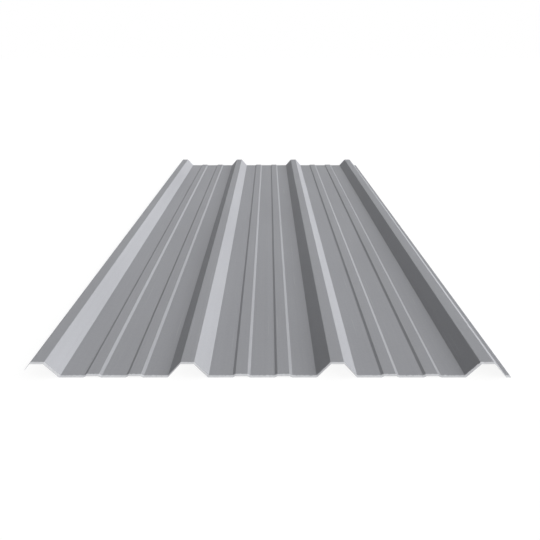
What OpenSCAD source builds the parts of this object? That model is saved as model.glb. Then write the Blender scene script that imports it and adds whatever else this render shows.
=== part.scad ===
// Ribbed steel sheet for roofs and walls: one strip of coated steel, roll-formed.
// Millimetres. The section lies in X and Z, the length runs along Y.
// The origin is the middle of the footprint, on the floor, and +Z is up.

/* [Sheet] */
// Length of the sheet, square-cut end to square-cut end
sheet_length = 2134; // [600:1:6000]
// Thickness of the steel with its zinc and paint
sheet_thickness = 0.8; // [0.4:0.05:1.6]
// Inside radius of every bend
bend_radius = 2; // [0.8:0.1:4]

/* [Main ribs] */
// Number of main ribs
rib_count = 4; // [2:1:6]
// Distance between the centres of neighbouring main ribs
rib_pitch = 304.8; // [270:0.1:420]
// Height of a main rib above the pans
rib_height = 31.75; // [18:0.25:60]
// Width across the flat top of a main rib, between its bend lines
rib_top_width = 27.5; // [18:0.5:45]
// Width of a main rib at the level of the pans, between its bend lines
rib_base_width = 82.5; // [60:0.5:110]

/* [Stiffening ribs] */
// Number of shallow ribs in each pan
stiffener_count = 2; // [0:1:2]
// Distance between the centres of the shallow ribs of one pan
stiffener_pitch = 86.4; // [60:0.1:130]
// Height of a shallow rib above the pan
stiffener_height = 3.2; // [1.5:0.1:6]
// Width across the flat top of a shallow rib
stiffener_top_width = 24.5; // [14:0.5:28]
// Width of a shallow rib at the level of the pan
stiffener_base_width = 36; // [32:0.5:48]

/* [Side laps] */
// How far the free leg of the overlapping rib reaches down from its top
overlap_leg_drop = 14; // [6:0.5:17]
// Width of the flat foot on the outer leg of the rib that goes underneath
bearing_foot_width = 9.5; // [7:0.5:40]

/* [Hidden] */
// Grey of the painted face
paint_grey = "#949599";
// Flat faces that make up one rounded bend
bend_steps = 4;
half_thickness = sheet_thickness / 2;
// Radius of a bend at the middle of the steel
middle_radius = bend_radius + half_thickness;
// Heights of the middle of the steel
pan_z = half_thickness;
rib_z = pan_z + rib_height;
stiffener_z = pan_z + stiffener_height;
// Sideways reach of one sloping side of a main rib
rib_side_run = (rib_base_width - rib_top_width) / 2;
// Sideways reach of the overlapping rib's short leg
overlap_leg_run = overlap_leg_drop * rib_side_run / rib_height;
first_rib_x = -rib_pitch * (rib_count - 1) / 2;
last_rib_x = first_rib_x + rib_pitch * (rib_count - 1);

// Bend lines of the steel from left to right, as points of its middle line
function rib_top(rib_x) = [
    [rib_x - rib_top_width / 2, rib_z],
    [rib_x + rib_top_width / 2, rib_z]
];

function stiffener(middle_x) = [
    [middle_x - stiffener_base_width / 2, pan_z],
    [middle_x - stiffener_top_width / 2, stiffener_z],
    [middle_x + stiffener_top_width / 2, stiffener_z],
    [middle_x + stiffener_base_width / 2, pan_z]
];

function stiffener_x(pan_x, index) =
    pan_x + (index - (stiffener_count - 1) / 2) * stiffener_pitch;

// One pan with its shallow ribs, from the foot of one main rib to the next
function pan(pan_x) = concat(
    [[pan_x - (rib_pitch - rib_base_width) / 2, pan_z]],
    [for (index = [0:1:stiffener_count - 1]) each stiffener(stiffener_x(pan_x, index))],
    [[pan_x + (rib_pitch - rib_base_width) / 2, pan_z]]
);

overlap_leg_end = [
    first_rib_x - rib_top_width / 2 - overlap_leg_run,
    rib_z - overlap_leg_drop
];

bearing_foot = [
    [last_rib_x + rib_base_width / 2, pan_z],
    [last_rib_x + rib_base_width / 2 + bearing_foot_width, pan_z]
];

middle_line = concat(
    [overlap_leg_end],
    rib_top(first_rib_x),
    [for (index = [1:1:rib_count - 1]) each concat(
        pan(first_rib_x + rib_pitch * (index - 0.5)),
        rib_top(first_rib_x + rib_pitch * index)
    )],
    bearing_foot
);

// Direction from one point to the next, and the direction square to it on its left
function heading(start, end) = (end - start) / norm(end - start);
function left_of(direction) = [-direction[1], direction[0]];

// Angle the steel turns through at a bend, positive to the left
function turn_angle(arriving, leaving) =
    atan2(cross(arriving, leaving), arriving * leaving);

// One face of a bend, a given distance to the left of the middle line
function bend_face(before, corner, after, side) =
    let (
        arriving = heading(before, corner),
        turn = turn_angle(arriving, heading(corner, after)),
        begin = corner - middle_radius * tan(abs(turn) / 2) * arriving,
        outward = -sign(turn) * left_of(arriving),
        middle = begin - middle_radius * outward,
        radius = middle_radius - sign(turn) * side,
        first = atan2(outward[1], outward[0])
    )
    [for (step = [0:1:bend_steps])
        let (angle = first + turn * step / bend_steps)
        middle + radius * [cos(angle), sin(angle)]];

// One whole face of the steel, from the free leg to the foot
function steel_face(line, side) =
    let (last = len(line) - 1)
    concat(
        [line[0] + side * left_of(heading(line[0], line[1]))],
        [for (index = [1:1:last - 1])
            each bend_face(line[index - 1], line[index], line[index + 1], side)],
        [line[last] + side * left_of(heading(line[last - 1], line[last]))]
    );

function reversed(points) = [for (index = [len(points) - 1:-1:0]) points[index]];

outline = concat(
    steel_face(middle_line, half_thickness),
    reversed(steel_face(middle_line, -half_thickness))
);
outline_x = [for (point = outline) point[0]];
footprint_middle_x = (min(outline_x) + max(outline_x)) / 2;

// The whole sheet, its section pushed along its length
module ribbed_sheet() {
    color(paint_grey)
        translate([-footprint_middle_x, 0, 0])
        rotate([90, 0, 0])
        linear_extrude(height = sheet_length, center = true)
        polygon(outline);
}

ribbed_sheet();
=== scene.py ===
import math

import bmesh
import bpy
from mathutils import Euler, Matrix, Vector


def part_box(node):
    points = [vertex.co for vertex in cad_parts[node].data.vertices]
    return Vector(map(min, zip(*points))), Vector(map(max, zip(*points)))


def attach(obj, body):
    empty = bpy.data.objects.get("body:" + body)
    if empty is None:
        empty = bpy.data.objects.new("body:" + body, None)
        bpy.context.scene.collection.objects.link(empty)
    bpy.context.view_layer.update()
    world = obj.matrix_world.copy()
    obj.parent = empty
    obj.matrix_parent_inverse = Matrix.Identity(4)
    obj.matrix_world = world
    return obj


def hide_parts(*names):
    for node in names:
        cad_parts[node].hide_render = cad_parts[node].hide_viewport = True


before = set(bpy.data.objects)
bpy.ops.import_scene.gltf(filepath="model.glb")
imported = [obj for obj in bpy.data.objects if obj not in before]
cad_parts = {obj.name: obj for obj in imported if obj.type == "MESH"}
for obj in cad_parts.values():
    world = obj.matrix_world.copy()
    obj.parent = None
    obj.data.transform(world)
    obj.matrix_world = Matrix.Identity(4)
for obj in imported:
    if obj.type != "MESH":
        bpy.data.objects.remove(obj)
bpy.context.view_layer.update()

# Sizes, in metres
MM = 0.001
SHEET_NODE = "ribbed_sheet"
sheet_low, sheet_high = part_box(SHEET_NODE)
sheet_length = sheet_high.y - sheet_low.y
# Most values of a noise lie between these
NOISE_SPAN = {"From Min": 0.3, "From Max": 0.7}


def linear(hex_colour):
    """An sRGB hex colour as linear RGBA."""
    shares = [int(hex_colour[start:start + 2], 16) / 255 for start in (1, 3, 5)]
    return [s / 12.92 if s <= 0.04045 else ((s + 0.055) / 1.055) ** 2.4 for s in shares] + [1]


def repeats_per_metre(*sizes_mm):
    """Scale of a pattern whose marks have these sizes along X, Y and Z."""
    return [1 / (size * MM) for size in sizes_mm]


def add_node(tree, kind, inputs, **properties):
    """Adds a node with its properties, and each input's value or the node or socket it comes from."""
    node = tree.nodes.new(kind)
    for name, value in properties.items():
        setattr(node, name, value)
    sockets = [socket for socket in node.inputs if socket.enabled]
    for name, value in inputs.items():
        socket = sockets[name] if isinstance(name, int) else next(s for s in sockets if s.name == name)
        if isinstance(value, bpy.types.Node):
            value = next(output for output in value.outputs if output.enabled)
        if isinstance(value, bpy.types.NodeSocket):
            tree.links.new(value, socket)
        else:
            socket.default_value = value
    return node


def empty_tree(owner):
    """The node tree of a material or a world, cleared."""
    owner.use_nodes = True
    owner.node_tree.nodes.clear()
    return owner.node_tree


# Polyester paint, roller-coated on zinc-coated strip and baked before forming: an even satin grey with
# a slow drift of tone, faint lines along the rolling direction and a fine pebble. The bends are a little
# lighter, partly from paint that the forming rolls stretched and partly a painted highlight, and along
# the sheared ends the paint is worn down to pale zinc.
PAINT_GREY = "#949599"
PAINT_IOR = 1.42
# Marks in the paint: their sizes in mm across, along and up, their detail, and how far each moves the
# tone. The pebble is really 1 to 2 mm, drawn coarser so that it shows.
PAINT_MARKS = {
    "coil_drift": ((180, 600, 180), 2.0, 0.035),
    "roll_lines": ((6, 1500, 6), 3.0, 0.028),
    "pebble": ((4, 7, 4), 2.0, 0.02),
}
PEBBLE_RELIEF = 0.02 * MM
ROUGHNESS_ON_LINES = {"To Min": 0.66, "To Max": 0.78}
# Hairline rubs from sliding over the next sheet of the stack, really 0.2 mm wide, drawn wider
RUB_SIZES_MM = (1.6, 260, 1.6)
RUB_DETAIL = 1.0
RUB_SHARE = {"From Min": 0.7, "From Max": 0.8, "To Min": 0.0, "To Max": 0.35}
RUB_SMOOTHING = -0.3
RUBBED_GREY = "#B0B1B5"
# Bends, lighter where the rolls have stretched the paint, with a painted highlight along each bend
BENT_AND_HIGHLIGHT_GREY = "#A6A7AB"
BEND_AND_HIGHLIGHT_SHARE = 0.3
# Strip along each sheared end where handling has worn the paint down to the zinc
WORN_STRIP = 7.0 * MM
WORN_RAGGEDNESS = 3.0 * MM
WORN_BLUR = 0.6 * MM
RAGGED_SIZES_MM = (6, 10, 6)
RAGGED_DETAIL = 4.0
ZINC_GREY = "#CFD0D3"
ZINC_ROUGHNESS = 0.5
# A thin dull film on the zinc scatters some of the light, so it shines a little less than bare metal
ZINC_METALLIC = 0.85
ZINC_CRYSTALS_MM = (5, 5, 5)
ZINC_CRYSTAL_TONES = {"To Min": 0.9, "To Max": 1.06}


def paint_tone(tree, place):
    """Tone of the paint, moved a little by each of its marks, and those marks by name."""
    tone = 1.0
    marks = {}
    for name, (sizes_mm, detail, swing) in PAINT_MARKS.items():
        mark_space = add_node(
            tree, "ShaderNodeMapping", {"Vector": place, "Scale": repeats_per_metre(*sizes_mm)})
        marks[name] = add_node(
            tree, "ShaderNodeTexNoise", {"Vector": mark_space, "Scale": 1.0, "Detail": detail})
        mark_tone = add_node(
            tree, "ShaderNodeMapRange",
            {"Value": marks[name], **NOISE_SPAN, "To Min": 1 - swing, "To Max": 1 + swing})
        tone = add_node(tree, "ShaderNodeMath", {0: tone, 1: mark_tone}, operation="MULTIPLY")
    return tone, marks


def rubbed_share(tree, place):
    """How far the rubs have lightened the paint: nothing off a rub, part of the way on one."""
    rub_space = add_node(
        tree, "ShaderNodeMapping", {"Vector": place, "Scale": repeats_per_metre(*RUB_SIZES_MM)})
    rubs = add_node(
        tree, "ShaderNodeTexNoise", {"Vector": rub_space, "Scale": 1.0, "Detail": RUB_DETAIL})
    return add_node(tree, "ShaderNodeMapRange", {"Value": rubs, **RUB_SHARE})


def worn_share(tree, place):
    """1 in the worn strip at each end, which has a ragged inner border, and 0 elsewhere."""
    along = add_node(tree, "ShaderNodeSeparateXYZ", {"Vector": place}).outputs["Y"]
    from_middle = add_node(tree, "ShaderNodeMath", {0: along}, operation="ABSOLUTE")
    ragged_space = add_node(
        tree, "ShaderNodeMapping", {"Vector": place, "Scale": repeats_per_metre(*RAGGED_SIZES_MM)})
    ragged = add_node(
        tree, "ShaderNodeTexNoise", {"Vector": ragged_space, "Scale": 1.0, "Detail": RAGGED_DETAIL})
    ragged_reach = add_node(
        tree, "ShaderNodeMapRange",
        {"Value": ragged, "To Min": -WORN_RAGGEDNESS, "To Max": WORN_RAGGEDNESS})
    reach = add_node(tree, "ShaderNodeMath", {0: from_middle, 1: ragged_reach}, operation="ADD")
    worn_from = sheet_length / 2 - WORN_STRIP
    return add_node(
        tree, "ShaderNodeMapRange",
        {"Value": reach, "From Min": worn_from - WORN_BLUR, "From Max": worn_from + WORN_BLUR},
        interpolation_type="SMOOTHSTEP")


def zinc_colour(tree, place):
    """Colour of the bare zinc, whose crystals differ a little in tone."""
    crystal_space = add_node(
        tree, "ShaderNodeMapping", {"Vector": place, "Scale": repeats_per_metre(*ZINC_CRYSTALS_MM)})
    crystals = add_node(tree, "ShaderNodeTexVoronoi", {"Vector": crystal_space, "Scale": 1.0})
    crystal_tone = add_node(
        tree, "ShaderNodeMapRange", {"Value": crystals.outputs["Color"], **ZINC_CRYSTAL_TONES})
    return add_node(
        tree, "ShaderNodeHueSaturation", {"Value": crystal_tone, "Color": linear(ZINC_GREY)})


def coil_coated_steel():
    material = bpy.data.materials.new("coil_coated_steel_satin_grey")
    tree = empty_tree(material)
    place = add_node(tree, "ShaderNodeTexCoord", {}).outputs["Object"]
    tone, marks = paint_tone(tree, place)
    rubbed = rubbed_share(tree, place)
    worn = worn_share(tree, place)

    # Paint that is lighter where it is rubbed, lighter at the bends from stretched paint and a painted
    # highlight, and gone where it is worn through
    paint = add_node(tree, "ShaderNodeHueSaturation", {"Value": tone, "Color": linear(PAINT_GREY)})
    rubbed_paint = add_node(
        tree, "ShaderNodeMix",
        {"Factor": rubbed, "A": paint, "B": linear(RUBBED_GREY)}, data_type="RGBA")
    # Bend faces are lightened: partly stretched paint, partly a painted highlight along each bend
    bend = add_node(tree, "ShaderNodeAttribute", {}, attribute_name="bend").outputs["Fac"]
    bend_and_highlight_share = add_node(tree, "ShaderNodeMath", {0: bend, 1: BEND_AND_HIGHLIGHT_SHARE}, operation="MULTIPLY")
    bent_and_highlit_paint = add_node(
        tree, "ShaderNodeMix",
        {"Factor": bend_and_highlight_share, "A": rubbed_paint, "B": linear(BENT_AND_HIGHLIGHT_GREY)}, data_type="RGBA")
    colour = add_node(
        tree, "ShaderNodeMix",
        {"Factor": worn, "A": bent_and_highlit_paint, "B": zinc_colour(tree, place)}, data_type="RGBA")

    # Roughness follows the roll lines, and drops where the surface is rubbed or bare
    line_roughness = add_node(
        tree, "ShaderNodeMapRange", {"Value": marks["roll_lines"], **NOISE_SPAN, **ROUGHNESS_ON_LINES})
    rubbed_roughness = add_node(
        tree, "ShaderNodeMath",
        {0: rubbed, 1: RUB_SMOOTHING, 2: line_roughness}, operation="MULTIPLY_ADD")
    roughness = add_node(
        tree, "ShaderNodeMix",
        {"Factor": worn, "A": rubbed_roughness, "B": ZINC_ROUGHNESS}, data_type="FLOAT")

    metallic = add_node(tree, "ShaderNodeMath", {0: worn, 1: ZINC_METALLIC}, operation="MULTIPLY")
    relief = add_node(
        tree, "ShaderNodeBump", {"Height": marks["pebble"], "Strength": 1.0, "Distance": PEBBLE_RELIEF})
    shader = add_node(
        tree, "ShaderNodeBsdfPrincipled",
        {
            "Base Color": colour,
            "Metallic": metallic,
            "Roughness": roughness,
            "IOR": PAINT_IOR,
            "Normal": relief,
        })
    add_node(tree, "ShaderNodeOutputMaterial", {"Surface": shader})
    return material


# Thin wash coat, rolled on the side that faces the building: pale and dull, with faint streaks along
# the strip where the primer shows through
WASH_THIN_GREY = "#ADADAA"
WASH_FULL_GREY = "#B7B7B3"
STREAK_SIZES_MM = (14, 320, 14)
STREAK_DETAIL = 5.0
STREAK_RELIEF = 0.02 * MM
WASH_ROUGHNESS = {"To Min": 0.55, "To Max": 0.75}


def wash_coat():
    material = bpy.data.materials.new("wash_coat_pale_grey")
    tree = empty_tree(material)
    place = add_node(tree, "ShaderNodeTexCoord", {}).outputs["Object"]
    streak_space = add_node(
        tree, "ShaderNodeMapping", {"Vector": place, "Scale": repeats_per_metre(*STREAK_SIZES_MM)})
    streaks = add_node(
        tree, "ShaderNodeTexNoise", {"Vector": streak_space, "Scale": 1.0, "Detail": STREAK_DETAIL})
    share = add_node(tree, "ShaderNodeMapRange", {"Value": streaks, **NOISE_SPAN})
    colour = add_node(
        tree, "ShaderNodeMix",
        {"Factor": share, "A": linear(WASH_THIN_GREY), "B": linear(WASH_FULL_GREY)}, data_type="RGBA")
    roughness = add_node(tree, "ShaderNodeMapRange", {"Value": streaks, **WASH_ROUGHNESS})
    relief = add_node(
        tree, "ShaderNodeBump", {"Height": streaks, "Strength": 1.0, "Distance": STREAK_RELIEF})
    shader = add_node(
        tree, "ShaderNodeBsdfPrincipled",
        {"Base Color": colour, "Roughness": roughness, "IOR": PAINT_IOR, "Normal": relief})
    add_node(tree, "ShaderNodeOutputMaterial", {"Surface": shader})
    return material


# Zinc-coated steel, sheared: bright bare metal with the blade's drag lines across the cut, which are
# really 0.1 mm apart and drawn coarser so that they show
SHEARED_DULL_GREY = "#C2C3C6"
SHEARED_BRIGHT_GREY = "#DADBDC"
DRAG_SIZES_MM = (1.2, 1.2, 8)
DRAG_DETAIL = 3.0
DRAG_RELIEF = 0.03 * MM
SHEARED_ROUGHNESS = {"To Min": 0.35, "To Max": 0.55}


def sheared_steel():
    material = bpy.data.materials.new("zinc_coated_steel_sheared")
    tree = empty_tree(material)
    place = add_node(tree, "ShaderNodeTexCoord", {}).outputs["Object"]
    drag_space = add_node(
        tree, "ShaderNodeMapping", {"Vector": place, "Scale": repeats_per_metre(*DRAG_SIZES_MM)})
    drag = add_node(
        tree, "ShaderNodeTexNoise", {"Vector": drag_space, "Scale": 1.0, "Detail": DRAG_DETAIL})
    share = add_node(tree, "ShaderNodeMapRange", {"Value": drag, **NOISE_SPAN})
    colour = add_node(
        tree, "ShaderNodeMix",
        {"Factor": share, "A": linear(SHEARED_DULL_GREY), "B": linear(SHEARED_BRIGHT_GREY)},
        data_type="RGBA")
    roughness = add_node(tree, "ShaderNodeMapRange", {"Value": drag, **SHEARED_ROUGHNESS})
    relief = add_node(
        tree, "ShaderNodeBump", {"Height": drag, "Strength": 1.0, "Distance": DRAG_RELIEF})
    shader = add_node(
        tree, "ShaderNodeBsdfPrincipled",
        {"Base Color": colour, "Metallic": 1.0, "Roughness": roughness, "Normal": relief})
    add_node(tree, "ShaderNodeOutputMaterial", {"Surface": shader})
    return material


# The sheet: the weather face of the CAD solid, with rounded bends, given its thickness again
WELD_DISTANCE = 0.001 * MM
COPLANAR_ANGLE = math.radians(0.5)
SHARP_ANGLE = math.radians(45)
FACING_UP = 0.1
BEND_FACE_WIDTH = 1.5 * MM
ROW_COUNT = 24
# Order of the sheet's materials
PAINTED, WASHED, SHEARED = range(3)
# Bands of the texture map, as shares of its height: most of it goes to the weather face
MAP_NAME = "OFBake"
MAP_BORDER = 0.004
WEATHER_BAND = (0.004, 0.70)
UNDERSIDE_BAND = (0.71, 0.93)
CUT_BANDS_FROM = 0.94
CUT_BAND_STEP = 0.014
CUT_BAND_HEIGHT = 0.008
# Zone at each end that takes more of a band than its length, for the worn strip's fine border
END_ZONE = 16 * MM
END_SHARE = 0.05


def weather_face(cad_sheet):
    """The upper face of the CAD sheet, one quad for each flat and each step of a bend."""
    skin = bmesh.new()
    skin.from_mesh(cad_sheet.data)
    bmesh.ops.remove_doubles(skin, verts=skin.verts, dist=WELD_DISTANCE)
    skin.normal_update()
    others = [face for face in skin.faces if face.normal.z < FACING_UP]
    bmesh.ops.delete(skin, geom=others, context="FACES")
    bmesh.ops.dissolve_limit(
        skin, angle_limit=COPLANAR_ANGLE, verts=skin.verts, edges=skin.edges)
    return skin


def is_cut_face(face):
    """True for a face between two sharp edges that share no corner, as all round the sheet's rim."""
    sharp = [edge for edge in face.edges if not edge.smooth]
    return any(not set(one.verts) & set(other.verts) for one in sharp for other in sharp)


def finish_faces(skin):
    """Gives each face its material, and marks the faces of the bends."""
    bend_mark = skin.faces.layers.float.new("bend")
    for face in skin.faces:
        if is_cut_face(face):
            face.material_index = SHEARED
        elif face.normal.z < 0:
            face.material_index = WASHED
        width = min(edge.calc_length() for edge in face.edges)
        face[bend_mark] = float(width < BEND_FACE_WIDTH)
        face.smooth = True


def cut_band(face):
    """Band of the texture map for a face of the rim: one each for the two ends and the two sides."""
    at_end = abs(face.normal.y) > abs(face.normal.x)
    facing = face.normal.y if at_end else face.normal.x
    low = CUT_BANDS_FROM + (2 * at_end + (facing > 0)) * CUT_BAND_STEP
    return low, low + CUT_BAND_HEIGHT


def share_along(y):
    """Share of a band at a place along the sheet, with more room for the zone at each end."""
    from_end = min(y - sheet_low.y, sheet_high.y - y)
    if from_end < END_ZONE:
        share = END_SHARE * from_end / END_ZONE
    else:
        middle_share = (from_end - END_ZONE) / (sheet_length / 2 - END_ZONE)
        share = END_SHARE + (0.5 - END_SHARE) * middle_share
    return share if y - sheet_low.y < sheet_length / 2 else 1 - share


def map_place(face, vert):
    """Where a corner of a face lies on the texture map: seen from above, or unrolled along the rim."""
    across = (vert.co.x - sheet_low.x) / (sheet_high.x - sheet_low.x)
    along = share_along(vert.co.y)
    if face.material_index == SHEARED:
        low, high = cut_band(face)
        across = across if abs(face.normal.y) > abs(face.normal.x) else along
        along = any(near.material_index == PAINTED for near in vert.link_faces)
    else:
        low, high = WEATHER_BAND if face.material_index == PAINTED else UNDERSIDE_BAND
    return MAP_BORDER + across * (1 - 2 * MAP_BORDER), low + along * (high - low)


def lay_out_map(skin):
    texture_map = skin.loops.layers.uv.new(MAP_NAME)
    for face in skin.faces:
        for loop in face.loops:
            loop[texture_map].uv = map_place(face, loop.vert)


def ribbed_sheet(cad_sheet):
    skin = weather_face(cad_sheet)
    thickness = min(vert.co.z for vert in skin.verts) - sheet_low.z
    lengthwise = [edge for edge in skin.edges if edge.calc_length() > sheet_length / 2]
    bmesh.ops.subdivide_edges(skin, edges=lengthwise, cuts=ROW_COUNT - 1, use_grid_fill=True)
    for end_zone_y in (sheet_low.y + END_ZONE, sheet_high.y - END_ZONE):
        everything = skin.verts[:] + skin.edges[:] + skin.faces[:]
        bmesh.ops.bisect_plane(skin, geom=everything, plane_co=(0, end_zone_y, 0), plane_no=(0, 1, 0))
    bmesh.ops.solidify(skin, geom=skin.faces[:], thickness=thickness)
    bmesh.ops.recalc_face_normals(skin, faces=skin.faces)
    for edge in skin.edges:
        edge.smooth = edge.calc_face_angle() < SHARP_ANGLE
    finish_faces(skin)
    lay_out_map(skin)
    mesh = bpy.data.meshes.new("sheet")
    skin.to_mesh(mesh)
    skin.free()
    for material in (coil_coated_steel(), wash_coat(), sheared_steel()):
        mesh.materials.append(material)
    piece = bpy.data.objects.new("sheet", mesh)
    bpy.context.scene.collection.objects.link(piece)
    flat_shading = piece.modifiers.new("flats_shade_flat", "WEIGHTED_NORMAL")
    flat_shading.keep_sharp = True
    return piece


sheet = ribbed_sheet(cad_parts[SHEET_NODE])
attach(sheet, "root")
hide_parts(SHEET_NODE)


# Studio: a white floor and backdrop, an even soft sky, and a broad key and fill lamp low on the right
FLOOR_HALF_WIDTH = 30
FLOOR_CLEARANCE = 0.1 * MM
FLOOR_GREY = 0.3
FLOOR_GLOW = 0.75
SKY_STRENGTH = 0.36
WHITE = (1, 1, 1, 1)
KEY_STRENGTH = 0.8
FILL_STRENGTH = 4.1
LAMP_TURN_DEGREES = 85
LAMP_RISE_DEGREES = 19
LAMP_SPREAD_DEGREES = 70


def seen_rays(tree):
    """1 for what the camera sees, directly or in a reflection or through glass, and 0 for other light."""
    path = add_node(tree, "ShaderNodeLightPath", {}).outputs
    seen = add_node(
        tree, "ShaderNodeMath",
        {0: path["Is Camera Ray"], 1: path["Is Glossy Ray"]}, operation="MAXIMUM")
    return add_node(
        tree, "ShaderNodeMath", {0: seen, 1: path["Is Transmission Ray"]}, operation="MAXIMUM")


def white_floor():
    """A matt floor that is lifted to white where it is seen, and keeps the sheet's shadow."""
    material = bpy.data.materials.new("white_floor")
    tree = empty_tree(material)
    lift = add_node(
        tree, "ShaderNodeMath", {0: seen_rays(tree), 1: FLOOR_GLOW}, operation="MULTIPLY")
    matt = add_node(tree, "ShaderNodeBsdfDiffuse", {"Color": (FLOOR_GREY, FLOOR_GREY, FLOOR_GREY, 1)})
    glow = add_node(tree, "ShaderNodeEmission", {"Color": WHITE, "Strength": lift})
    shader = add_node(tree, "ShaderNodeAddShader", {0: matt, 1: glow})
    add_node(tree, "ShaderNodeOutputMaterial", {"Surface": shader})
    shape = bmesh.new()
    bmesh.ops.create_grid(shape, x_segments=1, y_segments=1, size=FLOOR_HALF_WIDTH)
    bmesh.ops.translate(shape, verts=shape.verts, vec=(0, 0, sheet_low.z - FLOOR_CLEARANCE))
    mesh = bpy.data.meshes.new("floor")
    shape.to_mesh(mesh)
    shape.free()
    mesh.materials.append(material)
    floor = bpy.data.objects.new("floor", mesh)
    bpy.context.scene.collection.objects.link(floor)


def studio_sky():
    """An even soft sky that is white where it is seen."""
    world = bpy.data.worlds.new("studio_sky")
    bpy.context.scene.world = world
    tree = empty_tree(world)
    light = add_node(tree, "ShaderNodeBackground", {"Color": WHITE, "Strength": SKY_STRENGTH})
    backdrop = add_node(tree, "ShaderNodeBackground", {"Color": WHITE, "Strength": 1.0})
    sky = add_node(tree, "ShaderNodeMixShader", {0: seen_rays(tree), 1: light, 2: backdrop})
    add_node(tree, "ShaderNodeOutputWorld", {"Surface": sky})


def soft_lamp(name, strength, casts_shadow):
    """A broad lamp, so that the slopes that face right are light and those that face left are dark."""
    light = bpy.data.lights.new(name, "SUN")
    light.energy = strength
    light.angle = math.radians(LAMP_SPREAD_DEGREES)
    light.use_shadow = casts_shadow
    lamp = bpy.data.objects.new(name, light)
    turn = math.radians(LAMP_TURN_DEGREES)
    rise = math.radians(LAMP_RISE_DEGREES)
    towards_lamp = Vector((
        math.cos(rise) * math.sin(turn),
        math.cos(rise) * math.cos(turn),
        math.sin(rise),
    ))
    lamp.rotation_euler = towards_lamp.to_track_quat("Z", "Y").to_euler()
    # Gloss mirrors the white studio, and not the lamp itself
    lamp.visible_glossy = False
    bpy.context.scene.collection.objects.link(lamp)


white_floor()
studio_sky()
# Only the key lamp casts a shadow, so that the pans stay nearly as even as the photograph shows them
soft_lamp("soft_key", KEY_STRENGTH, casts_shadow=True)
soft_lamp("soft_fill", FILL_STRENGTH, casts_shadow=False)


# The photograph's view: a level camera before the middle of the near end, tipped down over the sheet
PHOTO_PIXELS = 540
VANISHING_PIXEL_X = 268.47
LENS_MM = 36
SENSOR_MM = 36
CAMERA_BEFORE_NEAR_END = 935.4 * MM
CAMERA_HEIGHT = 625.15 * MM
CAMERA_TIP_DEGREES = 22.496
FAR_CLIP = 200


def photo_camera():
    lens = bpy.data.cameras.new("camera")
    lens.lens = LENS_MM
    lens.sensor_width = SENSOR_MM
    lens.shift_x = (PHOTO_PIXELS / 2 - VANISHING_PIXEL_X) / PHOTO_PIXELS
    lens.clip_end = FAR_CLIP
    camera = bpy.data.objects.new("camera", lens)
    camera.location = (0, sheet_low.y - CAMERA_BEFORE_NEAR_END, CAMERA_HEIGHT)
    camera.rotation_euler = Euler((math.radians(90 - CAMERA_TIP_DEGREES), 0, 0))
    bpy.context.scene.collection.objects.link(camera)
    bpy.context.scene.camera = camera


photo_camera()
bpy.context.scene.view_settings.view_transform = "Standard"
